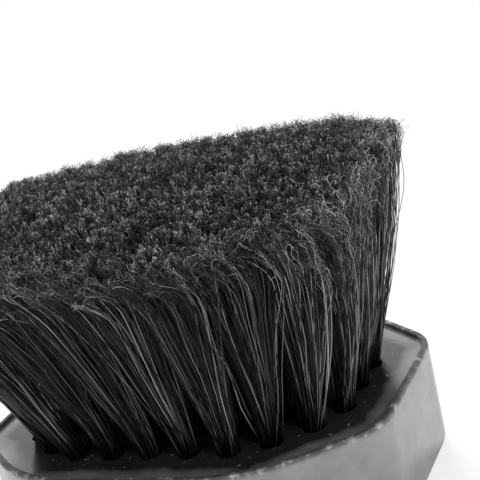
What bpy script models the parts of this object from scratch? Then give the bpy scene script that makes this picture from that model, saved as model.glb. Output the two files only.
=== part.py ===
"""A wash brush head: a moulded block with blind holes in its face, and the splayed bristle tufts set in them.

Metres, +Z up. The brush stands on the flat back of its block, with the bristle tips up. The block's long
side runs along X. Everything is symmetric about the XZ and YZ planes.
"""

import math

import bmesh
import bpy
from mathutils import Matrix, Vector

# The block's plan: a rectangle whose four corners are cut off at a slant and rounded
BLOCK_LENGTH = 0.122
BLOCK_WIDTH = 0.091
CUT_ALONG = 0.028
CUT_ACROSS = 0.0226
END_CORNER_RADIUS = 0.0145
SIDE_CORNER_RADIUS = 0.048

# The block's section
BLOCK_THICKNESS = 0.030
SIDE_TAPER = 0.0009
BACK_EDGE_RADIUS = 0.003
LIP_HEIGHT = 0.0012
LIP_WIDTH = 0.0018
LIP_EDGE_RADIUS = 0.0005

# The tufts' holes, along rings that follow the block's outline, and a row along its middle
HOLE_DIAMETER = 0.0056
HOLE_DEPTH = 0.012
FIELD_MARGIN = 0.0118
RING_TUFTS = {"outer": 24, "second": 18, "third": 12}
RING_START_SHARES = {"outer": 0, "second": 0.5, "third": 0}
MIDDLE_TUFTS = 3

# The tufts
BRISTLE_LENGTH = 0.061
COLLAR_HEIGHT = 0.0012
END_SPLAY = math.radians(15.6)
SIDE_SPLAY = math.radians(22.8)
TRIM_SHARE = 0.22
FAN_SHARE = 0.31
STRAND_ROOT_RADIUS = 0.0005
STRAND_TIP_RADIUS = 0.0004
STRAND_RING_SHARE = 0.62
STRAND_ROOTING = 0.0008
FOLD_SHARE = 0.45

# Clearance between touching pieces, and how far a cutter overruns what it cuts
CLEARANCE = 0.0003
OVERRUN = 0.002

# How finely round shapes are divided
CORNER_STEPS = 6
EDGE_STEPS = 3
SHARPEST_SMOOTH_EDGE = math.radians(40)
HOLE_SIDES = 10
ROOT_SIDES = 6
STRAND_SIDES = 3
RING_STRANDS = 6
STRAND_STEPS = 2

# Where the tufts stand: the rings share the width between the outer one and the middle row
FACE_HEIGHT = BLOCK_THICKNESS - LIP_HEIGHT
OUTER_RING_INSET = FIELD_MARGIN + HOLE_DIAMETER / 2
RING_PITCH = (BLOCK_WIDTH / 2 - OUTER_RING_INSET) / len(RING_TUFTS)
FIELD_HALF_LENGTH = BLOCK_LENGTH / 2 - FIELD_MARGIN
FIELD_HALF_WIDTH = BLOCK_WIDTH / 2 - FIELD_MARGIN


def clear_scene():
    """Removes whatever the scene holds."""
    for obj in list(bpy.data.objects):
        bpy.data.objects.remove(obj, do_unlink=True)


def new_collection(name):
    collection = bpy.data.collections.new(name)
    bpy.context.scene.collection.children.link(collection)
    return collection


def plastic(name, colour, roughness):
    """A Principled material of one colour."""
    material = bpy.data.materials.new(name)
    material.use_nodes = True
    shader = material.node_tree.nodes["Principled BSDF"]
    shader.inputs["Base Color"].default_value = (*colour, 1)
    shader.inputs["Roughness"].default_value = roughness
    shader.inputs["Metallic"].default_value = 0
    return material


def mesh_object(name, bm, collection, material=None):
    """Turns a bmesh into a named object and frees it."""
    bmesh.ops.recalc_face_normals(bm, faces=bm.faces)
    mesh = bpy.data.meshes.new(name)
    bm.to_mesh(mesh)
    bm.free()
    mesh.shade_smooth()
    mesh.set_sharp_from_angle(angle=SHARPEST_SMOOTH_EDGE)
    obj = bpy.data.objects.new(name, mesh)
    collection.objects.link(obj)
    if material:
        mesh.materials.append(material)
    return obj


def combine(obj, helper, operation):
    """Joins a helper to obj, or cuts it out of obj, and marks it as no part of the brush."""
    modifier = obj.modifiers.new(operation.title(), "BOOLEAN")
    modifier.operation = operation
    modifier.solver = "EXACT"
    modifier.object = helper
    helper.hide_render = True
    helper.display_type = "WIRE"


def carry_on(bm, ring, points):
    """Extrudes the end whose corners are ring to points, and returns the new corners in the same order."""
    end = set(ring)
    face = next(f for f in ring[0].link_faces if set(f.verts) == end)
    closes_shape = all(len(vertex.link_edges) == 2 for vertex in ring)
    grown = bmesh.ops.extrude_face_region(bm, geom=[face])
    made = {item for item in grown["geom"] if isinstance(item, bmesh.types.BMVert)}
    if not closes_shape:
        bmesh.ops.delete(bm, geom=[face], context="FACES_ONLY")
    carried = []
    for vertex, point in zip(ring, points):
        fresh = next(e.other_vert(vertex) for e in vertex.link_edges if e.other_vert(vertex) in made)
        fresh.co = point
        carried.append(fresh)
    return carried


def sweep(bm, rings):
    """Adds a closed shape that passes through each ring of points in turn, with a flat cap at both ends."""
    ring = [bm.verts.new(point) for point in rings[0]]
    bm.faces.new(ring)
    for points in rings[1:]:
        ring = carry_on(bm, ring, points)


def circle(place, radius, sides):
    """Points round a circle in the XY plane of place."""
    angles = [2 * math.pi * i / sides for i in range(sides)]
    return [place @ Vector((radius * math.cos(angle), radius * math.sin(angle), 0)) for angle in angles]


def cut_corners(inset):
    """The eight corners of the block's plan, each side moved in by inset, anticlockwise from the +X end."""
    half_length = BLOCK_LENGTH / 2
    half_width = BLOCK_WIDTH / 2
    slant = Vector((CUT_ACROSS, CUT_ALONG)).normalized()
    reach = slant.dot(Vector((half_length, half_width - CUT_ACROSS))) - inset
    end = half_length - inset
    side = half_width - inset
    end_corner = Vector((end, (reach - slant.x * end) / slant.y))
    side_corner = Vector(((reach - slant.y * side) / slant.x, side))
    quarter = [end_corner, side_corner]
    corners = list(quarter)
    corners += [Vector((-p.x, p.y)) for p in reversed(quarter)]
    corners += [Vector((-p.x, -p.y)) for p in quarter]
    corners += [Vector((p.x, -p.y)) for p in reversed(quarter)]
    return corners


def rounded(corners, radii):
    """The polygon with each corner rounded to its radius, as points anticlockwise."""
    points = []
    for i, corner in enumerate(corners):
        before = (corners[i - 1] - corner).normalized()
        after = (corners[(i + 1) % len(corners)] - corner).normalized()
        turn = math.pi - before.angle(after)
        tangent = radii[i] * math.tan(turn / 2)
        centre = corner + (before + after).normalized() * radii[i] / math.cos(turn / 2)
        start = corner + before * tangent - centre
        for step in range(CORNER_STEPS + 1):
            angle = turn * step / CORNER_STEPS
            points.append(centre + Matrix.Rotation(angle, 2) @ start)
    return points


def block_outline(inset):
    """The block's rounded plan, moved in by inset."""
    end_radius = END_CORNER_RADIUS - inset
    side_radius = SIDE_CORNER_RADIUS - inset
    return rounded(cut_corners(inset), [end_radius, side_radius, side_radius, end_radius] * 2)


def block_section():
    """Pairs of inset and height, up the block's side, over its lip and down to its face."""
    quarter = [math.pi / 2 * step / EDGE_STEPS for step in range(EDGE_STEPS + 1)]
    lip_shoulder = BLOCK_THICKNESS - LIP_EDGE_RADIUS
    section = []
    for angle in quarter:
        inset = SIDE_TAPER + BACK_EDGE_RADIUS * (1 - math.sin(angle))
        section.append((inset, BACK_EDGE_RADIUS * (1 - math.cos(angle))))
    for angle in quarter:
        inset = LIP_EDGE_RADIUS * (1 - math.cos(angle))
        section.append((inset, lip_shoulder + LIP_EDGE_RADIUS * math.sin(angle)))
    for angle in quarter:
        inset = LIP_WIDTH - LIP_EDGE_RADIUS * (1 - math.sin(angle))
        section.append((inset, lip_shoulder + LIP_EDGE_RADIUS * math.cos(angle)))
    section.append((LIP_WIDTH, FACE_HEIGHT))
    return section


def block_body(collection, material):
    """The solid block, its outline carried up through the section."""
    bm = bmesh.new()
    sweep(bm, [[(p.x, p.y, height) for p in block_outline(inset)] for inset, height in block_section()])
    return mesh_object("block", bm, collection, material)


def splay(x, y):
    """The way that bristle at x, y stands: upright in the middle, and leaning out more with distance."""
    lean_x = math.tan(END_SPLAY) * x / FIELD_HALF_LENGTH
    lean_y = math.tan(SIDE_SPLAY) * y / FIELD_HALF_WIDTH
    return Vector((lean_x, lean_y, 1))


def tip_of(x, y):
    """Where a bristle's tip stands. The trim leaves a leaning bristle a little longer than an upright one."""
    way = splay(x, y)
    length = BRISTLE_LENGTH * (1 + TRIM_SHARE * (way.length - 1))
    return Vector((x, y, FACE_HEIGHT)) + way.normalized() * length


def along_outline(corners, count, start_share):
    """Points evenly spaced along a polygon, the first start_share of a space on from the +X crossing."""
    start = (corners[-1] + corners[0]) / 2
    path = [start, *corners, start]
    lengths = [(b - a).length for a, b in zip(path, path[1:])]
    spacing = sum(lengths) / count
    points = []
    for i in range(count):
        left = (i + start_share) * spacing
        leg = 0
        while left > lengths[leg]:
            left -= lengths[leg]
            leg += 1
        points.append(path[leg].lerp(path[leg + 1], left / lengths[leg]))
    return points


def tuft_places():
    """Names and places of the tufts. The middle row's lie evenly between the ends of the innermost ring."""
    places = {}
    for step, (ring, count) in enumerate(RING_TUFTS.items()):
        inset = OUTER_RING_INSET + step * RING_PITCH
        points = along_outline(cut_corners(inset), count, RING_START_SHARES[ring])
        for i, point in enumerate(points):
            places[f"tuft_{ring}_{i + 1:02d}"] = point
    end = Vector((BLOCK_LENGTH / 2 - inset, 0))
    for i in range(MIDDLE_TUFTS):
        places[f"tuft_middle_{i + 1:02d}"] = (-end).lerp(end, (i + 1) / (MIDDLE_TUFTS + 1))
    return places


def turn_to(way):
    """The rotation that turns +Z to point along way, with no twist."""
    return Vector((0, 0, 1)).rotation_difference(way).to_matrix().to_4x4()


def seat_at(place):
    """Where a tuft meets the block's face, with its Z along the tuft's lean."""
    return Matrix.Translation((place.x, place.y, FACE_HEIGHT)) @ turn_to(splay(place.x, place.y))


def add_hole(bm, seat):
    """Adds one hole's cutter, along the tuft's lean."""
    bmesh.ops.create_cone(
        bm,
        cap_ends=True,
        segments=HOLE_SIDES,
        radius1=HOLE_DIAMETER / 2,
        radius2=HOLE_DIAMETER / 2,
        depth=HOLE_DEPTH + OVERRUN,
        matrix=seat @ Matrix.Translation((0, 0, (OVERRUN - HOLE_DEPTH) / 2)),
    )


def root_radius():
    """The radius of a tuft's root, clear of the flats of its hole."""
    return HOLE_DIAMETER / 2 * math.cos(math.pi / HOLE_SIDES) - CLEARANCE


def tuft_root(name, collection, material):
    """A tuft's bound root: it fills its hole, stands out of it, and is pinched where the bristles fold."""
    depth = HOLE_DEPTH - CLEARANCE
    bm = bmesh.new()
    bmesh.ops.create_cone(
        bm,
        cap_ends=True,
        segments=ROOT_SIDES,
        radius1=root_radius(),
        radius2=root_radius(),
        depth=depth + COLLAR_HEIGHT,
        matrix=Matrix.Translation((0, 0, (COLLAR_HEIGHT - depth) / 2)),
    )
    for vertex in bm.verts:
        if vertex.co.z < 0:
            vertex.co.x *= FOLD_SHARE
    return mesh_object(name, bm, collection, material)


def add_strand(bm, root, tip):
    """Adds one tapered strand that leaves its root along the tuft's Z and bends over to its tip."""
    up = Vector((0, 0, 1))
    knee = root + up * (tip - root).length / 2
    points = []
    for step in range(STRAND_STEPS + 1):
        share = step / STRAND_STEPS
        points.append(root.lerp(knee, share).lerp(knee.lerp(tip, share), share))
    rings = []
    for step, point in enumerate(points):
        share = step / STRAND_STEPS
        radius = STRAND_ROOT_RADIUS + (STRAND_TIP_RADIUS - STRAND_ROOT_RADIUS) * share
        heading = point - points[step - 1] if step else up
        rings.append(circle(Matrix.Translation(point) @ turn_to(heading), radius, STRAND_SIDES))
    sweep(bm, rings)


def tuft_strands(name, place, collection):
    """The strands of one tuft, spread so that they neither cross nor reach a neighbour's."""
    to_tuft = seat_at(place).inverted()
    start = Vector((0, 0, COLLAR_HEIGHT - STRAND_ROOTING))
    bm = bmesh.new()
    add_strand(bm, start, to_tuft @ tip_of(place.x, place.y))
    for i in range(RING_STRANDS):
        angle = 2 * math.pi * i / RING_STRANDS
        out = Vector((math.cos(angle), math.sin(angle), 0))
        aim = place + out.xy * RING_PITCH * FAN_SHARE
        add_strand(bm, start + out * root_radius() * STRAND_RING_SHARE, to_tuft @ tip_of(aim.x, aim.y))
    return mesh_object(name, bm, collection)


def main():
    clear_scene()
    brush = new_collection("wash_brush")
    cutters = new_collection("cutters")
    grey = plastic("block_plastic", (0.36, 0.36, 0.36), 0.35)
    black = plastic("bristle", (0.02, 0.02, 0.021), 0.5)
    places = tuft_places()

    block = block_body(brush, grey)
    bm = bmesh.new()
    for place in places.values():
        add_hole(bm, seat_at(place))
    combine(block, mesh_object("tuft_holes", bm, cutters), "DIFFERENCE")

    for name, place in places.items():
        tuft = tuft_root(name, brush, black)
        strands = tuft_strands(name + "_strands", place, cutters)
        combine(tuft, strands, "UNION")
        tuft.parent = block
        for obj in (tuft, strands):
            obj.matrix_world = seat_at(place)


main()
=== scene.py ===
"""The looks of a wash brush: its moulded grey block, and tufts of soft black bristle with split, curled tips.

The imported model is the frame. The block's length, width and heights and the tufts' places are measured from
it, and the other sizes are named below, in metres. The brush stands on the flat back of its block, bristle
up, with its long side along X.
"""

import math
from typing import NamedTuple

import bmesh
import bpy
import numpy as np
from mathutils import Matrix, Vector


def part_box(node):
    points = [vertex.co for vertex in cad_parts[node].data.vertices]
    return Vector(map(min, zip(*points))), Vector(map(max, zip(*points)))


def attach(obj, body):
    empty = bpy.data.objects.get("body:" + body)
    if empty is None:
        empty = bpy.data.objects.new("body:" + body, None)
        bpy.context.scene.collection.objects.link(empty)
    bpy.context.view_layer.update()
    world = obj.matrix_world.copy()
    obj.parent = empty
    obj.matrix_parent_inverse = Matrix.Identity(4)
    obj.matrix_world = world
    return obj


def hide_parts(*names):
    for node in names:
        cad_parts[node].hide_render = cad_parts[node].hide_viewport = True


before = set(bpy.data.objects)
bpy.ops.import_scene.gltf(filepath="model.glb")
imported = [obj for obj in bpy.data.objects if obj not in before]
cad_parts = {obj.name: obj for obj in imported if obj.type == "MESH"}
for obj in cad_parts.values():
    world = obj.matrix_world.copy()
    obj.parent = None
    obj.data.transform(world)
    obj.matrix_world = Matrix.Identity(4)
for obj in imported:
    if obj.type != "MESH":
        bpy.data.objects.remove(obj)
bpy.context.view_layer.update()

# The photograph's view, fitted to the brush's outlines
VIEW_AZIMUTH = math.radians(28.47)
VIEW_ELEVATION = math.radians(17.23)
VIEW_ROLL = math.radians(15.95)
VIEW_DISTANCE = 0.303
LENS_MM = 84.3
SENSOR_MM = 36
NEAREST_SEEN = 0.01
AIM_HEIGHT = 0.060
AIM_RIGHT = 0.01877
AIM_UP = 0.01381

# The room's light, and each lamp's place, the height over the brush's middle that it faces, and its power
ROOM_LIGHT = 0.28
LAMP_SIZE = 0.4
LAMPS = {
    "key": ((0.88, -0.45, 0.36), 0.04, 6),
    "fill": ((-0.25, -0.95, 0.24), 0.04, 2),
    "back": ((-0.4, 0.85, 0.40), 0.06, 18),
}

WHITE = (1, 1, 1, 1)

# The floor, and the share of plain white in what the camera sees of it, which is least near the brush
FLOOR_COLOUR = (0.93, 0.93, 0.93, 1)
FLOOR_RADIUS = 6.0
FLOOR_SIDES = 64
LEAST_WHITE = 0.70
LEAST_WHITE_DISTANCE = 0.05
ALL_WHITE_DISTANCE = 0.12

# The block's shape, as in the CAD model
CUT_ALONG = 0.028
CUT_ACROSS = 0.0226
END_CORNER_RADIUS = 0.0145
SIDE_CORNER_RADIUS = 0.048
SIDE_TAPER = 0.0009
BACK_EDGE_RADIUS = 0.003
LIP_WIDTH = 0.0018
LIP_EDGE_RADIUS = 0.0005
HOLE_RADIUS = 0.0028
HOLE_DEPTH = 0.012
FIELD_MARGIN = 0.0118

DUST_COLOUR = (0.26, 0.26, 0.26, 1)

# Where the dressed block is finer. Its hold is a ring just below the lip, which keeps the side's shading even
LIP_FOOT_RADIUS = 0.0004
COUNTERSINK = 0.0004
HOLD_SHARE = 0.04
CORNER_STEPS = 20
EDGE_STEPS = 6
HOLE_SIDES = 28
SHARPEST_SMOOTH_EDGE = math.radians(35)
OVERRUN = 0.002

# The face is painted darker further in from the block's edge, as painted shade under the bristle
FADE_START = 0.0030
FADE_END = 0.0095
FADE_STEPS = 6

# How many corners a CAD tuft's root has at its foot, and its strands have at their tips
ROOT_CORNERS = 6
TIP_CORNERS = 21

# The folded middle of a tuft, as radii and heights from its hole's mouth
FOLD_SIDES = 20
FOLD_PROFILE = ((0.0008, -0.0114), (0.0019, -0.0112), (0.0025, -0.0104), (0.0026, -0.0008), (0.0020, -0.0004))

# One tuft's strands, and the part of the face that they fan out over, its cell
STRANDS = 200
STRAND_RADIUS = 0.00014
SPLIT_RADIUS = 0.00011
THICKNESS_SPREAD = 0.3
STRAND_STEPS = 10
STRAND_STEPS_POWER = 1.5
TUBE_SIDES = 3
CELL_REACH = 0.0105
CELL_SLACK = 0.0026
NEIGHBOUR_REACH = 3 * CELL_REACH
AIM_TRIES = 4 * STRANDS
TRIM_NOISE = 0.0004

# Their places in the hole follow from where they go, and in part from chance
ROOT_RADIUS = 0.0026
ROOT_DEPTH = 0.0015
ROOT_ORDER = 0.88
ROOT_CHANCE = 0.7

# They fan out almost straight, bunch up in clumps on the way, and are a little wavy
STRAIGHT_SHARE = 0.86
CLUMPS = 16
CLUMP_PULL = 0.7
BUNCH_POWER = 0.7
WAVE = 0.00040
MOST_WAVE = 1.6
WAVE_TURNS = (0.8, 2.2)
WAVE_POWER = 0.5

# Some stray from their places
STRAY_SHARE = 0.06
STRAY_REACH = 0.009
STRAY_WAVES = 0.8

# Few strands are light. More are lighter at the edges, at the ends and in the frizz, which is painted light
# on the outer strands that the lamps reach, and those of the ends differ most
TONE_POWER = 1.9
EDGE_PAINTED_LIGHT = 0.4
END_PAINTED_LIGHT = 0.8
FRIZZ_PAINTED_LIGHT = 0.3
END_CONTRAST = 0.5
FILAMENT_TONE_NOISE = 0.25

# How deep the edges' sweep and tone and the ends' bigger waves reach into the bristle
EDGE_DEPTH = 0.0080
END_WAVES = 0.8

# The outermost strands of the near side are swept over towards the -X end, those of the far side less so
SWEEP = (-0.98, 0.18)
SWEEP_SPREAD = 0.25
SWEEP_LENGTH = 0.0165
SWEEP_LENGTH_RANGE = (0.7, 1.0)
SWEEP_TURN = 1.4
SWEEP_LIFT = 0.7
SWEEP_LOCKS = (0.30, 1.0)
LOCK_NOISE = 0.12
LEAST_BEND = 0.001
END_SWEEP_SHARE = 0.45
FAR_SWEEP_SHARE = 0.15
SWEEP_FROM = -0.060
SWEEP_RUN = 0.035

# The strands of both ends bow outwards, and a few stand apart from the rest
END_DEPTH = 0.0120
END_GROWTH = 1.5
END_DRAW = 0.0025
END_DRAW_POWER = 3
END_BULGE = 0.0013
BULGE_POWER = 1.5
APART_SHARE = 0.06
APART_BULGE = 0.0031
APART_WAVES = 0.4

# Those of the two far corners are the longest
CORNER_RISE = 0.0026
CORNER_FROM = 0.036
CORNER_RUN = 0.010
CORNER_DEPTH = 0.015

# Frizz hangs down the near half of the +X end, where many strands are short, split further down and are wavy
FRIZZ_DEPTH = 0.0080
FRIZZ_RUN = 0.030
FRIZZ_SHORT = 0.022
FRIZZ_SHORT_POWER = 1.6
FRIZZ_GAIN = 1.6
FRIZZ_FLAGS = 1.3
FRIZZ_FLAG_STEPS = 7
FRIZZ_CURL = 0.0010
FRIZZ_TURNS = (1.0, 2.6)
# How far frizz filaments take the lighter colour of the tips, as painted light
FRIZZ_TIP_PAINTED_LIGHT = 0.6
LEAST_FRIZZ_SEEN = 0.15

# The near side has less of it, and least towards the +X end
SIDE_FRIZZ = 0.46
SIDE_FRIZZ_SHORT_GAIN = 1.3
SIDE_FRIZZ_LEAST = 0.3
SIDE_FRIZZ_RUN = 0.08
SIDE_FRIZZ_DEPTH = 0.0045

# Near the middle of the +X half of the near side, the bristle is combed towards that end
COMBED = 0.0042
COMBED_FROM = -0.012
COMBED_TO = 0.024
COMBED_END = 0.060
COMBED_TAPER = 0.025
COMBED_DEPTH = 0.030

# Each strand's tip is split into filaments, which drift apart and end in a hook
FILAMENTS = 5
FILAMENT_RADIUS = 0.000068
FILAMENT_TIP_RADIUS = 0.00005
FLAG_LENGTH = 0.0065
FLAG_LENGTH_RANGE = (0.7, 1.3)
FILAMENT_SHARES = (0.76, 0.88)
FLAG_SPREAD = 0.0010
FLAG_STEPS = 3
DRIFT_POWER = 1.3
DRIFT_CHANCE_POWER = 0.7
CURL_POWER = 0.5
HOOK_STEPS = 4
HOOK_STEP_RANGE = (0.00016, 0.00040)
HOOK_BENDS = (0.6, 1.6)
HOOK_NOISE = 0.45
EDGE_HOOK_GAIN = 1.0
EDGE_HOOK_EASE = 0.65
EDGE_TIP_EASE = 0.035

SEED = 7


# What the frame says


def level_of_face():
    """The height of the block's face: the level at which most of its corners lie, round the holes' mouths."""
    heights = [round(v.co.z, 5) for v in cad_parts["block"].data.vertices]
    levels, counts = np.unique(heights, return_counts=True)
    return float(levels[counts.argmax()])


BLOCK_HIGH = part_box("block")[1]
HALF_LENGTH = BLOCK_HIGH.x
HALF_WIDTH = BLOCK_HIGH.y
TOP = BLOCK_HIGH.z
FACE = level_of_face()
SLANT = np.array((CUT_ACROSS, CUT_ALONG)) / math.hypot(CUT_ACROSS, CUT_ALONG)
SLANT_REACH = SLANT @ (HALF_LENGTH, HALF_WIDTH - CUT_ACROSS)


def inside_edges(points):
    """How far points on the face lie inside the bristle field's nearest end, side and cut corner."""
    x, y = np.abs(points).T
    return np.array((HALF_LENGTH - x, HALF_WIDTH - y, SLANT_REACH - SLANT @ (x, y))) - FIELD_MARGIN


def inside_field(points):
    """How far points on the face lie inside the bristle field's edge."""
    return inside_edges(points).min(0)


def tuft_line(name):
    """Where a CAD tuft's root ends in its hole, and the middle of its tips."""
    points = np.array([v.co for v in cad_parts[name].data.vertices])
    points = np.unique(points.round(6), axis=0)
    points = points[np.argsort(points[:, 2])]
    return points[:ROOT_CORNERS].mean(0), points[-TIP_CORNERS:].mean(0)


TUFTS = sorted(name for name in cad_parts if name.startswith("tuft_"))
FEET, HEADS = (np.array(ends) for ends in zip(*(tuft_line(name) for name in TUFTS)))
WAYS = (HEADS - FEET) / np.linalg.norm(HEADS - FEET, axis=1, keepdims=True)
SEATS = FEET + WAYS * ((FACE - FEET[:, 2]) / WAYS[:, 2])[:, None]
SPLAY_X = np.linalg.lstsq(SEATS[:, :1], WAYS[:, 0] / WAYS[:, 2], rcond=None)[0][0]
SPLAY_Y = np.linalg.lstsq(SEATS[:, 1:2], WAYS[:, 1] / WAYS[:, 2], rcond=None)[0][0]


def splay(x, y):
    """The ways that bristle at x, y stands, not of unit length."""
    return np.stack([SPLAY_X * x, SPLAY_Y * y, np.ones_like(x)], -1)


LEANS = np.linalg.norm(splay(SEATS[:, 0], SEATS[:, 1]), axis=1)
TRIM = np.polyfit(LEANS, np.linalg.norm(HEADS - SEATS, axis=1), 1)


def tips_at(x, y):
    """Where bristle aimed at x, y on the block's face ends, on the trimmed surface."""
    ways = splay(x, y)
    leans = np.linalg.norm(ways, axis=-1, keepdims=True)
    return np.stack([x, y, np.full_like(x, FACE)], -1) + ways / leans * np.polyval(TRIM, leans)


# Materials


def new_material(name):
    """A material with a Principled shader, its node tree and that shader."""
    material = bpy.data.materials.new(name)
    material.use_nodes = True
    return material, material.node_tree, material.node_tree.nodes["Principled BSDF"]


def node(tree, kind, **values):
    """A shader node with its properties and inputs set."""
    made = tree.nodes.new(kind)
    for key, value in values.items():
        if hasattr(made, key):
            setattr(made, key, value)
        else:
            made.inputs[key.replace("_", " ")].default_value = value
    return made


def attribute(tree, name):
    """The value that the mesh holds under this name at each vertex."""
    return node(tree, "ShaderNodeAttribute", attribute_name=name).outputs["Fac"]


def noise(tree, place, scale, detail):
    """The level of a noise texture, finer at a larger scale."""
    made = node(tree, "ShaderNodeTexNoise", Scale=scale, Detail=detail)
    tree.links.new(place, made.inputs["Vector"])
    return made.outputs["Fac"]


def ramp(tree, source, stops):
    """A colour ramp from pairs of place and grey level."""
    made = tree.nodes.new("ShaderNodeValToRGB")
    elements = made.color_ramp.elements
    while len(elements) < len(stops):
        elements.new(0.5)
    for element, (place, level) in zip(elements, stops):
        element.position = place
        element.color = (level, level, level, 1)
    tree.links.new(source, made.inputs["Fac"])
    return made.outputs["Color"]


def mix(tree, blend, factor, first, second):
    """A colour mix, of numbers, colours or sockets."""
    made = node(tree, "ShaderNodeMix", data_type="RGBA", blend_type=blend)
    for name, value in (("Factor", factor), ("A", first), ("B", second)):
        if isinstance(value, bpy.types.NodeSocket):
            tree.links.new(value, made.inputs[name])
        else:
            made.inputs[name].default_value = value
    return made.outputs["Result"]


def math_node(tree, operation, first, second):
    """The result of an operation on two sockets."""
    made = node(tree, "ShaderNodeMath", operation=operation)
    tree.links.new(first, made.inputs[0])
    tree.links.new(second, made.inputs[1])
    return made.outputs["Value"]


def mix_shaders(tree, factor, first, second):
    """The first shader where the factor is 0, and the second where it is 1."""
    made = tree.nodes.new("ShaderNodeMixShader")
    tree.links.new(factor, made.inputs["Fac"])
    tree.links.new(first, made.inputs[1])
    tree.links.new(second, made.inputs[2])
    return made.outputs["Shader"]


def bristle_material():
    """Black nylon, greyer and duller towards its split tips, whose lightest specks are painted glints, a
    little different from strand to strand, and painted darker towards its roots as shade between the tufts.
    """
    material, tree, shader = new_material("bristle_nylon")
    place = node(tree, "ShaderNodeTexCoord").outputs["Object"]
    tone = attribute(tree, "tone")
    along = attribute(tree, "along")
    body = ramp(tree, tone, ((0.0, 0.003), (0.40, 0.009), (0.72, 0.070), (1.0, 0.330)))
    # The split tips are greyer, and their lightest specks, up to white, are painted glints
    tips = ramp(tree, tone, ((0.0, 0.008), (0.45, 0.090), (0.75, 0.400), (1.0, 1.000)))
    glint_flecks = ramp(tree, noise(tree, place, 3200.0, 2.0), ((0.38, 0.12), (0.58, 1.0)))
    tips = mix(tree, "MULTIPLY", 1.0, tips, glint_flecks)
    shown = mix(tree, "MIX", ramp(tree, along, ((0.94, 0.0), (0.995, 1.0))), body, tips)
    # Painted shade: each strand darkens towards its root, where the tufts shade each other
    root = ramp(tree, along, ((0.06, 0.12), (0.28, 1.0)))
    tree.links.new(mix(tree, "MULTIPLY", 1.0, shown, root), shader.inputs["Base Color"])
    film = ramp(tree, noise(tree, place, 900.0, 3.0), ((0.3, 0.34), (0.7, 0.52)))
    tree.links.new(film, shader.inputs["Roughness"])
    shader.inputs["Specular IOR Level"].default_value = 0.4
    return material


def block_material():
    """Semi-gloss grey moulded plastic, faintly mottled, with a grimy scuffed lip, a few specks of dust, and
    painted shade darkening its face round the tufts.
    """
    material, tree, shader = new_material("block_plastic")
    place = node(tree, "ShaderNodeTexCoord").outputs["Object"]
    edge = attribute(tree, "edge")
    field = attribute(tree, "field")
    mottle = noise(tree, place, 70.0, 4.0)
    specks = noise(tree, place, 330.0, 5.0)
    cloud = noise(tree, place, 160.0, 3.0)
    dust = noise(tree, place, 520.0, 3.0)
    grain = noise(tree, place, 1500.0, 2.0)
    base = ramp(tree, mottle, ((0.30, 0.215), (0.50, 0.250), (0.70, 0.295)))
    worn = ramp(tree, specks, ((0.40, 0.060), (0.56, 0.100), (0.70, 0.400)))
    scuffed = mix(tree, "MIX", edge, base, worn)
    # Painted shade: the face darkens towards the tufts, in uneven clouds, where the bristle shades it
    tuft_shade_reach = mix(tree, "LINEAR_LIGHT", 0.32, field, cloud)
    painted_tuft_shade = ramp(tree, tuft_shade_reach, ((0.0, 1.0), (0.38, 0.60), (0.72, 0.09)))
    scuffed_and_shaded = mix(tree, "MULTIPLY", 1.0, scuffed, painted_tuft_shade)
    dusty = ramp(tree, dust, ((0.65, 0.0), (0.72, 0.7)))
    dusty = mix(tree, "MIX", dusty, scuffed_and_shaded, DUST_COLOUR)
    tree.links.new(dusty, shader.inputs["Base Color"])
    gloss = ramp(tree, mottle, ((0.3, 0.16), (0.7, 0.24)))
    grime = ramp(tree, specks, ((0.40, 0.62), (0.70, 0.42)))
    tree.links.new(mix(tree, "MIX", edge, gloss, grime), shader.inputs["Roughness"])
    shader.inputs["Specular IOR Level"].default_value = 0.7
    bump = node(tree, "ShaderNodeBump", Strength=0.12, Distance=0.0001)
    tree.links.new(grain, bump.inputs["Height"])
    tree.links.new(bump.outputs["Normal"], shader.inputs["Normal"])
    return material


def floor_material():
    """Matt white, most or all of which the camera sees as plain white, so that only the near shadow shows."""
    material, tree, shader = new_material("floor_white")
    shader.inputs["Base Color"].default_value = FLOOR_COLOUR
    shader.inputs["Roughness"].default_value = 0.9
    shader.inputs["Specular IOR Level"].default_value = 0.0
    place = node(tree, "ShaderNodeNewGeometry").outputs["Position"]
    distance = node(tree, "ShaderNodeVectorMath", operation="LENGTH")
    tree.links.new(place, distance.inputs[0])
    nearness = {"From_Min": LEAST_WHITE_DISTANCE, "From_Max": ALL_WHITE_DISTANCE, "To_Min": LEAST_WHITE}
    share = node(tree, "ShaderNodeMapRange", **nearness)
    tree.links.new(distance.outputs["Value"], share.inputs["Value"])
    seen = node(tree, "ShaderNodeLightPath").outputs["Is Camera Ray"]
    factor = math_node(tree, "MULTIPLY", share.outputs["Result"], seen)
    white = node(tree, "ShaderNodeEmission", Strength=1.0).outputs["Emission"]
    shown = mix_shaders(tree, factor, shader.outputs["BSDF"], white)
    tree.links.new(shown, tree.nodes["Material Output"].inputs["Surface"])
    return material


# What the block and the bristle share


def new_object(name, data):
    """An object in the scene that shows a mesh, or holds a lamp or a camera."""
    made = bpy.data.objects.new(name, data)
    bpy.context.scene.collection.objects.link(made)
    return made


def mark(mesh, name, values):
    """Gives each vertex of a mesh a value that its material reads."""
    mesh.attributes.new(name, "FLOAT", "POINT").data.foreach_set("value", values.astype(np.float32))


def ring_faces(numbers):
    """The faces between each ring of numbered vertices and the next. The last axis goes round a ring."""
    after = np.roll(numbers, -1, axis=-1)
    corners = (numbers[..., :-1, :], after[..., :-1, :], after[..., 1:, :], numbers[..., 1:, :])
    return np.stack(corners, -1).reshape(-1, 4)


# The block


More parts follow.
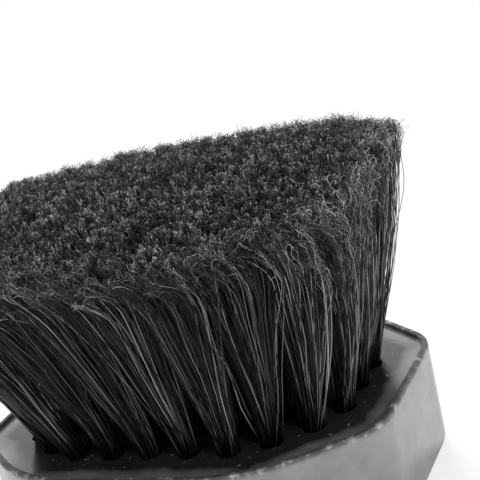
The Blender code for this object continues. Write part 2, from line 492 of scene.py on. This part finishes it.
def cut_corners(inset):
    """The eight corners of the block's plan, each side moved in by inset, anticlockwise from the +X end."""
    end = HALF_LENGTH - inset
    side = HALF_WIDTH - inset
    reach = SLANT_REACH - inset
    end_corner = Vector((end, (reach - SLANT[0] * end) / SLANT[1]))
    side_corner = Vector(((reach - SLANT[1] * side) / SLANT[0], side))
    quarter = [end_corner, side_corner]
    half = quarter + [Vector((-corner.x, corner.y)) for corner in reversed(quarter)]
    return half + [-corner for corner in half]


def block_outline(inset):
    """The block's rounded plan, moved in by inset, as points anticlockwise."""
    corners = cut_corners(inset)
    points = []
    for i, corner in enumerate(corners):
        radius = (SIDE_CORNER_RADIUS if i % 4 in (1, 2) else END_CORNER_RADIUS) - inset
        before = (corners[i - 1] - corner).normalized()
        after = (corners[(i + 1) % len(corners)] - corner).normalized()
        turn = math.pi - before.angle(after)
        centre = corner + (before + after).normalized() * radius / math.cos(turn / 2)
        start = corner + before * radius * math.tan(turn / 2) - centre
        for step in range(CORNER_STEPS + 1):
            points.append(centre + Matrix.Rotation(turn * step / CORNER_STEPS, 2) @ start)
    return points


def block_section():
    """Inset, height and wear, up the block's side, over its lip and down to its face."""
    quarter = [math.pi / 2 * step / EDGE_STEPS for step in range(EDGE_STEPS + 1)]
    shoulder = TOP - LIP_EDGE_RADIUS
    section = []
    for angle in quarter:
        inset = SIDE_TAPER + BACK_EDGE_RADIUS * (1 - math.sin(angle))
        section.append((inset, BACK_EDGE_RADIUS * (1 - math.cos(angle)), 0))
    section.append((SIDE_TAPER * HOLD_SHARE, shoulder - TOP * HOLD_SHARE, 0))
    for angle in quarter:
        inset = LIP_EDGE_RADIUS * (1 - math.cos(angle))
        section.append((inset, shoulder + LIP_EDGE_RADIUS * math.sin(angle), 1))
    for angle in quarter:
        inset = LIP_WIDTH - LIP_EDGE_RADIUS * (1 - math.sin(angle))
        section.append((inset, shoulder + LIP_EDGE_RADIUS * math.cos(angle), 1))
    for angle in quarter:
        inset = LIP_WIDTH + LIP_FOOT_RADIUS * (1 - math.cos(angle))
        section.append((inset, FACE + LIP_FOOT_RADIUS * (1 - math.sin(angle)), 0))
    for step in range(FADE_STEPS + 1):
        section.append((FADE_START + (FADE_END - FADE_START) * step / FADE_STEPS, FACE, 0))
    return section


def block_shell():
    """The block without its holes, in rings of its plan, one for each point of its section."""
    section = block_section()
    rings = [[(point.x, point.y, height) for point in block_outline(inset)] for inset, height, _ in section]
    around = len(rings[0])
    numbers = np.arange(len(rings) * around).reshape(-1, around)
    faces = [numbers[0, ::-1].tolist(), *ring_faces(numbers).tolist(), numbers[-1].tolist()]
    mesh = bpy.data.meshes.new("moulded_block")
    mesh.from_pydata([point for ring in rings for point in ring], [], faces)
    mark(mesh, "edge", np.repeat([wear for _, _, wear in section], around))
    return mesh


def hole_cutters():
    """One mesh of all the tuft holes, each with a small countersink at its mouth."""
    cutters = bmesh.new()
    profile = (
        (HOLE_RADIUS, -HOLE_DEPTH),
        (HOLE_RADIUS, -COUNTERSINK),
        (HOLE_RADIUS + COUNTERSINK, 0),
        (HOLE_RADIUS + COUNTERSINK, OVERRUN),
    )
    for seat, way in zip(SEATS, WAYS):
        turn = Vector((0, 0, 1)).rotation_difference(Vector(way)).to_matrix().to_4x4()
        place = Matrix.Translation(Vector(seat)) @ turn
        rings = []
        for radius, height in profile:
            made = bmesh.ops.create_circle(cutters, segments=HOLE_SIDES, radius=radius)
            lift = Matrix.Translation((0, 0, height))
            bmesh.ops.transform(cutters, matrix=place @ lift, verts=made["verts"])
            rings.append(made["verts"])
        cutters.faces.new(list(reversed(rings[0])))
        cutters.faces.new(rings[-1])
        for low, high in zip(rings, rings[1:]):
            for i in range(HOLE_SIDES):
                j = (i + 1) % HOLE_SIDES
                cutters.faces.new((low[i], low[j], high[j], high[i]))
    bmesh.ops.recalc_face_normals(cutters, faces=cutters.faces)
    mesh = bpy.data.meshes.new("tuft_holes")
    cutters.to_mesh(mesh)
    cutters.free()
    return mesh


def cut_holes(block):
    """Cuts the tuft holes into the block's face."""
    cutter = new_object("tuft_holes", hole_cutters())
    cut = block.modifiers.new("Holes", "BOOLEAN")
    cut.operation = "DIFFERENCE"
    cut.solver = "EXACT"
    cut.object = cutter
    graph = bpy.context.evaluated_depsgraph_get()
    block.data = bpy.data.meshes.new_from_object(block.evaluated_get(graph))
    block.modifiers.clear()
    bpy.data.objects.remove(cutter)


def mark_painted_shade(mesh):
    """Marks the face and the holes for the painted shade, from 0 at the block's edge to 1 in the bristle's
    field.
    """
    points = np.array([v.co for v in mesh.vertices])
    inside = (inside_field(points[:, :2]) + FIELD_MARGIN - FADE_START) / (FADE_END - FADE_START)
    mark(mesh, "field", np.clip(inside, 0, 1) * (points[:, 2] > FACE - HOLE_DEPTH - OVERRUN))


def make_block():
    """The block with fine rounds, its holes cut into its face."""
    block = new_object("moulded_block", block_shell())
    cut_holes(block)
    mark_painted_shade(block.data)
    block.data.shade_smooth()
    block.data.set_sharp_from_angle(angle=SHARPEST_SMOOTH_EDGE)
    block.data.materials.append(block_material())
    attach(block, "root")
    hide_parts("block")


# Where the bristle differs from place to place


def near_edge(inside, depth):
    """1 at an edge and less further inside it, down to about a third at this depth."""
    return np.exp(-np.square(np.maximum(inside, 0) / depth))


def edges_at(aims):
    """How near strands aimed at points on the face are to an end, and how near to a side or a cut corner."""
    near = near_edge(inside_edges(aims), EDGE_DEPTH)
    return near[0], near[1:].max(0)


def sweep_at(aims):
    """How strongly strands aimed at points on the face are swept over."""
    x, y = aims.T
    end, side = edges_at(aims)
    strength = np.maximum(side, end * END_SWEEP_SHARE * (x > 0))
    strength = strength * np.clip((x - SWEEP_FROM) / SWEEP_RUN, 0, 1)
    return strength * np.where(y > 0, FAR_SWEEP_SHARE, 1)


def frizz_at(aims):
    """How frizzy strands aimed at points on the face are, and how much shorter some of them are for it."""
    x, y = aims.T
    inside = inside_edges(aims)
    end = near_edge(inside[0], FRIZZ_DEPTH) * (x > 0) * np.clip(1 - y / FRIZZ_RUN, 0, 1)
    side = SIDE_FRIZZ * near_edge(inside[1:].min(0), SIDE_FRIZZ_DEPTH) * (y < 0)
    side = side * np.clip(0.5 - x / SIDE_FRIZZ_RUN, SIDE_FRIZZ_LEAST, 1)
    short = np.maximum(end * np.clip(0.5 - y / FRIZZ_RUN, 0, 1), SIDE_FRIZZ_SHORT_GAIN * side)
    return np.maximum(end, side), short


def combed(x, y):
    """How far along X the tips of bristle at x, y are combed over."""
    rise = np.clip((x - COMBED_FROM) / (COMBED_TO - COMBED_FROM), 0, 1)
    fall = np.clip((COMBED_END - x) / COMBED_TAPER, 0, 1)
    return COMBED * rise * rise * (3 - 2 * rise) * fall * np.clip(0.5 - y / COMBED_DEPTH, 0, 1)


def corner_rise(x, y):
    """How much longer than the trimmed surface bristle at x, y is, in the two far corners."""
    outwards = np.clip((np.abs(x) - CORNER_FROM) / CORNER_RUN, 0, 1)
    return CORNER_RISE * outwards * np.clip(y / CORNER_DEPTH, 0, 1)


# The strands


def unit(vectors):
    """Vectors of length 1 that point the same ways."""
    return vectors / np.linalg.norm(vectors, axis=-1, keepdims=True)


def random_angles(dice, shape):
    """Angles that are equally likely all round."""
    return dice.random(shape) * math.tau


def headings(angles):
    """The ways that angles point in a plane."""
    return np.stack([np.cos(angles), np.sin(angles)], -1)


def aims_round(dice, index):
    """Points on the face that one tuft's strands fan out to, nearer to it than to its neighbours."""
    centre = SEATS[index, :2]
    others = np.delete(SEATS[:, :2], index, axis=0)
    others = others[np.linalg.norm(others - centre, axis=1) < NEIGHBOUR_REACH]
    kept = np.empty((0, 2))
    while len(kept) < STRANDS:
        reach = CELL_REACH * np.sqrt(dice.random(AIM_TRIES))
        points = centre + reach[:, None] * headings(random_angles(dice, AIM_TRIES))
        nearest = np.linalg.norm(points[:, None] - others, axis=2).min(1)
        slack = dice.exponential(CELL_SLACK, AIM_TRIES)
        fits = (reach < nearest + slack) & (inside_field(points) > 0)
        kept = np.concatenate([kept, points[fits]])
    return kept[:STRANDS]


def strayed(dice, aims, stray):
    """The aims, those of stray strands moved off at random but not out of the bristle's field."""
    reach = np.minimum(STRAY_REACH * dice.random(STRANDS), inside_field(aims)) * stray
    return aims + reach[:, None] * headings(random_angles(dice, STRANDS))


class Strands:
    """The strands of one tuft: their roots, tips and bends, and the lines that follow from them."""

    def __init__(self, dice, index):
        self.way = WAYS[index]
        self.side = unit(np.cross(self.way, (1, 0, 0)))
        self.front = np.cross(self.side, self.way)
        aims = aims_round(dice, index)
        self.start = SEATS[index] + self.roots(dice, aims) - self.way * ROOT_DEPTH
        self.stray = dice.random(STRANDS) < STRAY_SHARE
        self.aims = strayed(dice, aims, self.stray)
        self.end, side = edges_at(self.aims)
        self.edge = side * (1 - self.end)
        self.frizz, short = frizz_at(self.aims)
        self.reach_out(dice)
        self.gather(dice)
        self.sweep_over(dice, short)
        self.bow_out(dice)
        self.ripple(dice)
        self.split(dice)
        self.tone = self.tones(dice)

    def roots(self, dice, aims):
        """How far from the hole's middle each strand starts, in about the order in which they fan out."""
        order = (aims - aims.mean(0)) / CELL_REACH
        chance = headings(random_angles(dice, STRANDS)) * np.sqrt(dice.random(STRANDS))[:, None]
        place = order * ROOT_ORDER + chance * ROOT_CHANCE
        place = place / np.maximum(np.linalg.norm(place, axis=1, keepdims=True), 1)
        return (self.front * place[:, :1] - self.side * place[:, 1:]) * ROOT_RADIUS

    def reach_out(self, dice):
        """Sets how far each strand runs along its tuft's way and fans out, to end on the trimmed surface."""
        x, y = self.aims.T
        tips = tips_at(x, y)
        tips[:, 0] += combed(x, y)
        longer = corner_rise(x, y) + dice.normal(0, TRIM_NOISE, STRANDS)
        tips += unit(splay(x, y)) * longer[:, None]
        self.run = (tips - self.start) @ self.way
        self.fan = tips - self.start - self.way * self.run[:, None]

    def gather(self, dice):
        """Sorts the strands into clumps, and sets how far each is pulled to its clump's middle."""
        middles = dice.choice(self.aims, CLUMPS, replace=False)
        self.clump = np.linalg.norm(self.aims[:, None] - middles, axis=2).argmin(1)
        shared = np.stack([self.fan[self.clump == clump].mean(0) for clump in range(CLUMPS)])[self.clump]
        self.pull = (shared - self.fan) * (CLUMP_PULL * dice.random(STRANDS) * ~self.stray)[:, None]

    def sweep_over(self, dice, short):
        """Bends the outermost strands over, which are longer for it, and cuts some of the frizz short."""
        lock = dice.uniform(*SWEEP_LOCKS, CLUMPS)[self.clump] + dice.normal(0, LOCK_NOISE, STRANDS)
        self.bend = np.maximum(SWEEP_TURN * sweep_at(self.aims) * np.clip(lock, 0, 1), LEAST_BEND)
        self.bend_length = SWEEP_LENGTH * dice.uniform(*SWEEP_LENGTH_RANGE, STRANDS)
        whole = self.run + SWEEP_LIFT * self.bend_length * (1 - np.sin(self.bend) / self.bend)
        whole = whole - FRIZZ_SHORT * short * dice.random(STRANDS) ** FRIZZ_SHORT_POWER
        self.fan = self.fan * (whole / self.run)[:, None]
        self.run = whole
        heading = math.atan2(SWEEP[1], SWEEP[0]) + dice.normal(0, SWEEP_SPREAD, STRANDS)
        self.sweep = np.stack([np.cos(heading), np.sin(heading), np.zeros(STRANDS)], -1)

    def bow_out(self, dice):
        """Sets how far the strands of the ends bow outwards, and which few stand apart."""
        beyond = np.abs(self.aims[:, :1]) - (HALF_LENGTH - FIELD_MARGIN - END_DEPTH)
        self.draw = np.sign(self.aims[:, :1]) * (np.maximum(beyond, 0) / END_DEPTH) ** END_GROWTH * (1, 0, 0)
        self.apart = (dice.random(STRANDS) < APART_SHARE) & ~self.stray
        self.bulge = np.where(self.apart, APART_BULGE, END_BULGE)

    def ripple(self, dice):
        """Sets each strand's waves, to its side and to its front."""
        chance = np.minimum(np.abs(dice.normal(0, 1, (STRANDS, 2))), MOST_WAVE)
        more = 1 + np.maximum(STRAY_WAVES * self.stray, END_WAVES * self.end)
        self.wave = WAVE * chance * np.where(self.apart, APART_WAVES, more)[:, None]
        self.turns = dice.uniform(*WAVE_TURNS, (STRANDS, 2))
        self.phase = random_angles(dice, (STRANDS, 2))

    def split(self, dice):
        """Sets where each strand splits, and how many steps its split ends have, more of them in frizz."""
        length = FLAG_LENGTH * (1 + FRIZZ_FLAGS * self.frizz) * dice.uniform(*FLAG_LENGTH_RANGE, STRANDS)
        self.flag = 1 - length / self.run
        self.flag_steps = FRIZZ_FLAG_STEPS if self.frizz.max() > LEAST_FRIZZ_SEEN else FLAG_STEPS

    def tones(self, dice):
        """How light each strand is, from 0 to 1: at random, with painted light making those of the edges,
        ends and frizz lighter.
        """
        power = TONE_POWER - EDGE_PAINTED_LIGHT * self.edge - END_PAINTED_LIGHT * self.end - FRIZZ_PAINTED_LIGHT * self.frizz
        tone = dice.random(STRANDS) ** power
        return np.clip(tone + END_CONTRAST * self.end * (tone - 0.5), 0, 1)

    def bent(self, along):
        """How far each strand has bent from its straight line, in an arc that ends at its tip."""
        start = 1 - (self.bend_length / self.run)[:, None]
        share = np.maximum((along - start) / (1 - start), 0)
        turn = self.bend[:, None]
        over = (1 - np.cos(turn * share)) / turn
        down = share - np.sin(turn * share) / turn
        arc = self.sweep[:, None] * over[..., None] - self.way * down[..., None]
        return arc * self.bend_length[:, None, None]

    def waved(self, along):
        """How far each strand's waves have moved it aside."""
        turns, phase, wave = self.turns[..., None], self.phase[..., None], self.wave[..., None]
        along = along[:, None]
        swing = wave * (np.sin(math.tau * turns * along + phase) - np.sin(phase)) * along**WAVE_POWER
        return self.aside(swing[:, 0], swing[:, 1])

    def aside(self, right, fore):
        """Moves of these lengths to the strands' side and to their front."""
        return right[..., None] * self.side + fore[..., None] * self.front

    def at(self, along):
        """Points on each strand, as far along it as its own row says, from 0 at its root to 1 at its tip."""
        aside = self.bent(along) + self.waved(along)
        along = along[..., None]
        middle = np.sin(math.pi * along)
        fan = STRAIGHT_SHARE * along + (1 - STRAIGHT_SHARE) * along**2
        bulge = self.bulge[:, None, None] * middle**BULGE_POWER - END_DRAW * along**END_DRAW_POWER
        points = self.start[:, None] + self.way * self.run[:, None, None] * along + self.fan[:, None] * fan
        return points + self.pull[:, None] * fan * middle**BUNCH_POWER + self.draw[:, None] * bulge + aside


def drift(dice, strands, share):
    """How far aside one split end of each strand drifts and curls, at these shares of the way along it."""
    ways = headings(random_angles(dice, STRANDS)).T[..., None]
    reach = dice.random(STRANDS) ** DRIFT_CHANCE_POWER * (1 + FRIZZ_GAIN * strands.frizz)
    straight = FLAG_SPREAD * share**DRIFT_POWER * reach[:, None] * ways
    turns = math.tau * dice.uniform(*FRIZZ_TURNS, (2, STRANDS, 1))
    phase = random_angles(dice, (2, STRANDS, 1))
    curls = (np.sin(turns * share + phase) - np.sin(phase)) * share**CURL_POWER
    return strands.aside(*(straight + curls * FRIZZ_CURL * strands.frizz[:, None]))


def hook(dice, strands, lines):
    """A hook on each line's end, and a way that neither of them points along."""
    ease = 1 - EDGE_HOOK_EASE * strands.edge
    ahead = unit(lines[:, -1] - lines[:, -2])
    inward = unit(np.cross(ahead, dice.normal(size=(STRANDS, 3))))
    bend = (dice.uniform(*HOOK_BENDS, STRANDS) * ease)[:, None, None] * (np.arange(HOOK_STEPS) + 0.5)[:, None]
    ways = np.cos(bend) * ahead[:, None] + np.sin(bend) * inward[:, None]
    ways = unit(ways + dice.normal(0, 1, ways.shape) * (HOOK_NOISE * ease)[:, None, None])
    steps = dice.uniform(*HOOK_STEP_RANGE, STRANDS)
    steps = steps * (1 + EDGE_HOOK_GAIN * strands.edge + FRIZZ_GAIN * strands.frizz)
    points = lines[:, -1:] + np.cumsum(ways * steps[:, None, None], axis=1)
    return points, np.cross(ahead, inward)[:, None]


# The bristle's meshes


class TubeSet(NamedTuple):
    """Closed tubes, with how far along its strand each vertex is and how light."""

    vertices: np.ndarray
    sides: np.ndarray
    ends: np.ndarray
    along: np.ndarray
    tone: np.ndarray


def tapered(first, last, share, thickness):
    """The radii of tubes that taper evenly from first to last, share of the way along."""
    return (first + (last - first) * share) * thickness[:, None]


def tubes(lines, across, radii, turn, along, tone):
    """Closed tubes along lines, each turned about its own. None of the lines points along across."""
    count, steps, _ = lines.shape
    ahead = unit(np.gradient(lines, axis=1))
    right = unit(np.cross(ahead, across))
    over = np.cross(ahead, right)
    angles = turn[:, None, None] + math.tau * np.arange(TUBE_SIDES) / TUBE_SIDES
    ring = np.cos(angles)[..., None] * right[:, :, None] + np.sin(angles)[..., None] * over[:, :, None]
    vertices = lines[:, :, None] + ring * radii[..., None, None]
    numbers = np.arange(count * steps * TUBE_SIDES).reshape(count, steps, TUBE_SIDES)
    ends = np.concatenate([numbers[:, 0, ::-1], numbers[:, -1]])
    along = np.repeat(along.ravel(), TUBE_SIDES)
    tone = np.repeat(tone, steps * TUBE_SIDES)
    return TubeSet(vertices.reshape(-1, 3), ring_faces(numbers), ends, along, tone)


def unsplit(strands, thickness, turn):
    """The strands up to where they split, with shorter steps towards there."""
    share = 1 - np.linspace(1, 0, STRAND_STEPS + 1) ** STRAND_STEPS_POWER
    along = strands.flag[:, None] * share
    radii = tapered(STRAND_RADIUS, SPLIT_RADIUS, share, thickness)
    return tubes(strands.at(along), strands.front, radii, turn, along, strands.tone)


def split_ends(dice, strands, thickness, turn):
    """One filament of each strand's split tip. Those of the edges are duller, and frizz is lighter, as
    painted light.
    """
    share = np.linspace(0, 1, strands.flag_steps + 1)
    length = (1 - strands.flag) * dice.uniform(*FILAMENT_SHARES, STRANDS)
    along = strands.flag[:, None] + share * length[:, None]
    lines = strands.at(along) + drift(dice, strands, share)
    hooks, across = hook(dice, strands, lines)
    along = np.concatenate([along, np.ones((STRANDS, HOOK_STEPS))], axis=1)
    along = along * (1 - EDGE_TIP_EASE * strands.edge[:, None])
    # Painted light: frizz filaments are lifted towards the tips' lighter colour
    along = along + (1 - along) * FRIZZ_TIP_PAINTED_LIGHT * strands.frizz[:, None]
    share = np.linspace(0, 1, strands.flag_steps + HOOK_STEPS + 1)
    radii = tapered(FILAMENT_RADIUS, FILAMENT_TIP_RADIUS, share, thickness)
    tone = np.clip(strands.tone + dice.normal(0, FILAMENT_TONE_NOISE, STRANDS), 0, 1)
    return tubes(np.concatenate([lines, hooks], axis=1), across, radii, turn, along, tone)


def fold(index):
    """The folded middle of one tuft's bristle, which fills its hole up to where the strands part."""
    way = WAYS[index]
    side = unit(np.cross(way, (1, 0, 0)))
    angles = math.tau * np.arange(FOLD_SIDES) / FOLD_SIDES
    ring = np.cos(angles)[:, None] * side + np.sin(angles)[:, None] * np.cross(way, side)
    rings = [SEATS[index] + way * height + ring * radius for radius, height in FOLD_PROFILE]
    middles = [SEATS[index] + way * FOLD_PROFILE[which][1] for which in (0, -1)]
    vertices = np.concatenate([*rings, middles])
    numbers = np.arange(len(rings) * FOLD_SIDES).reshape(-1, FOLD_SIDES)
    after = np.roll(numbers, -1, axis=-1)
    low = np.stack([after[0], numbers[0], np.full(FOLD_SIDES, numbers.size)], -1)
    high = np.stack([numbers[-1], after[-1], np.full(FOLD_SIDES, numbers.size + 1)], -1)
    # The fold lies at the roots, so an along of 0 gives it the full painted root shade
    dark = np.zeros(len(vertices))
    return TubeSet(vertices, ring_faces(numbers), np.concatenate([low, high]), dark, dark)


def mesh_of(name, parts):
    """One smooth mesh of several sets of tubes."""
    offsets = np.cumsum([0] + [len(part.vertices) for part in parts])
    groups = [part.sides + offset for part, offset in zip(parts, offsets)]
    groups += [part.ends + offset for part, offset in zip(parts, offsets)]
    vertices = np.concatenate([part.vertices for part in parts])
    corners = np.concatenate([group.ravel() for group in groups])
    sizes = np.concatenate([np.full(len(group), group.shape[1]) for group in groups])
    mesh = bpy.data.meshes.new(name)
    mesh.vertices.add(len(vertices))
    mesh.vertices.foreach_set("co", vertices.astype(np.float32).ravel())
    mesh.loops.add(len(corners))
    mesh.loops.foreach_set("vertex_index", corners.astype(np.int32))
    mesh.polygons.add(len(sizes))
    mesh.polygons.foreach_set("loop_start", (np.cumsum(sizes) - sizes).astype(np.int32))
    mesh.update(calc_edges=True)
    mesh.shade_smooth()
    mark(mesh, "along", np.concatenate([part.along for part in parts]))
    mark(mesh, "tone", np.concatenate([part.tone for part in parts]))
    return mesh


def tuft_mesh(name, index):
    """One tuft: its strands up to where they split, the filaments that each splits into, and its fold."""
    dice = np.random.default_rng((SEED, index))
    strands = Strands(dice, index)
    thickness = dice.uniform(1 - THICKNESS_SPREAD, 1 + THICKNESS_SPREAD, STRANDS)
    turn = random_angles(dice, STRANDS)
    parts = [unsplit(strands, thickness, turn)]
    for _ in range(FILAMENTS):
        parts.append(split_ends(dice, strands, thickness, turn))
    parts.append(fold(index))
    return mesh_of(name, parts)


def make_bristle():
    """A piece for each tuft, in its own hole."""
    material = bristle_material()
    for index, name in enumerate(TUFTS):
        piece_name = name.replace("tuft", "bristle")
        mesh = tuft_mesh(piece_name, index)
        mesh.materials.append(material)
        tuft = new_object(piece_name, mesh)
        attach(tuft, "root")
        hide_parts(name)


# The stage, camera and lights


def make_floor():
    """A wide pale floor that keeps the brush's shadow near it and is plain white further off."""
    bpy.ops.mesh.primitive_circle_add(vertices=FLOOR_SIDES, radius=FLOOR_RADIUS, fill_type="NGON")
    floor = bpy.context.object
    floor.name = "floor"
    floor.data.materials.append(floor_material())


def make_world():
    """A plain white room, seen as white by the camera and in gloss, and giving a softer light."""
    world = bpy.data.worlds.new("white_room")
    bpy.context.scene.world = world
    world.use_nodes = True
    tree = world.node_tree
    tree.nodes.clear()
    light = node(tree, "ShaderNodeBackground", Color=WHITE, Strength=ROOM_LIGHT)
    white = node(tree, "ShaderNodeBackground", Color=WHITE, Strength=1.0)
    rays = node(tree, "ShaderNodeLightPath").outputs
    seen = math_node(tree, "MAXIMUM", rays["Is Camera Ray"], rays["Is Glossy Ray"])
    seen = math_node(tree, "MAXIMUM", seen, rays["Is Transmission Ray"])
    shown = mix_shaders(tree, seen, light.outputs["Background"], white.outputs["Background"])
    tree.links.new(shown, node(tree, "ShaderNodeOutputWorld").inputs["Surface"])


def make_lamp(name, place, aim_height, power):
    """A square area lamp that faces the brush's middle, not mirrored in the block's gloss."""
    light = bpy.data.lights.new(name, "AREA")
    light.size = LAMP_SIZE
    light.energy = power
    lamp = new_object(name, light)
    lamp.location = place
    lamp.rotation_euler = (Vector((0, 0, aim_height)) - Vector(place)).to_track_quat("-Z", "Y").to_euler()
    lamp.visible_glossy = False


def make_camera():
    """The photograph's camera, tilted as it was held."""
    away = math.cos(VIEW_ELEVATION)
    back = Vector((math.sin(VIEW_AZIMUTH) * away, -math.cos(VIEW_AZIMUTH) * away, math.sin(VIEW_ELEVATION)))
    level = Vector((math.cos(VIEW_AZIMUTH), math.sin(VIEW_AZIMUTH), 0))
    upright = back.cross(level)
    right = math.cos(VIEW_ROLL) * level - math.sin(VIEW_ROLL) * upright
    up = math.sin(VIEW_ROLL) * level + math.cos(VIEW_ROLL) * upright
    aim = Vector((0, 0, AIM_HEIGHT)) + AIM_RIGHT * right + AIM_UP * up
    lens = bpy.data.cameras.new("camera")
    lens.lens = LENS_MM
    lens.sensor_width = SENSOR_MM
    lens.clip_start = NEAREST_SEEN
    camera = new_object("camera", lens)
    turn = Matrix((right, up, back)).transposed().to_4x4()
    camera.matrix_world = Matrix.Translation(aim + back * VIEW_DISTANCE) @ turn
    bpy.context.scene.camera = camera


make_block()
make_bristle()
make_floor()
make_world()
for lamp_name, settings in LAMPS.items():
    make_lamp(lamp_name, *settings)
make_camera()
bpy.context.scene.view_settings.view_transform = "Standard"
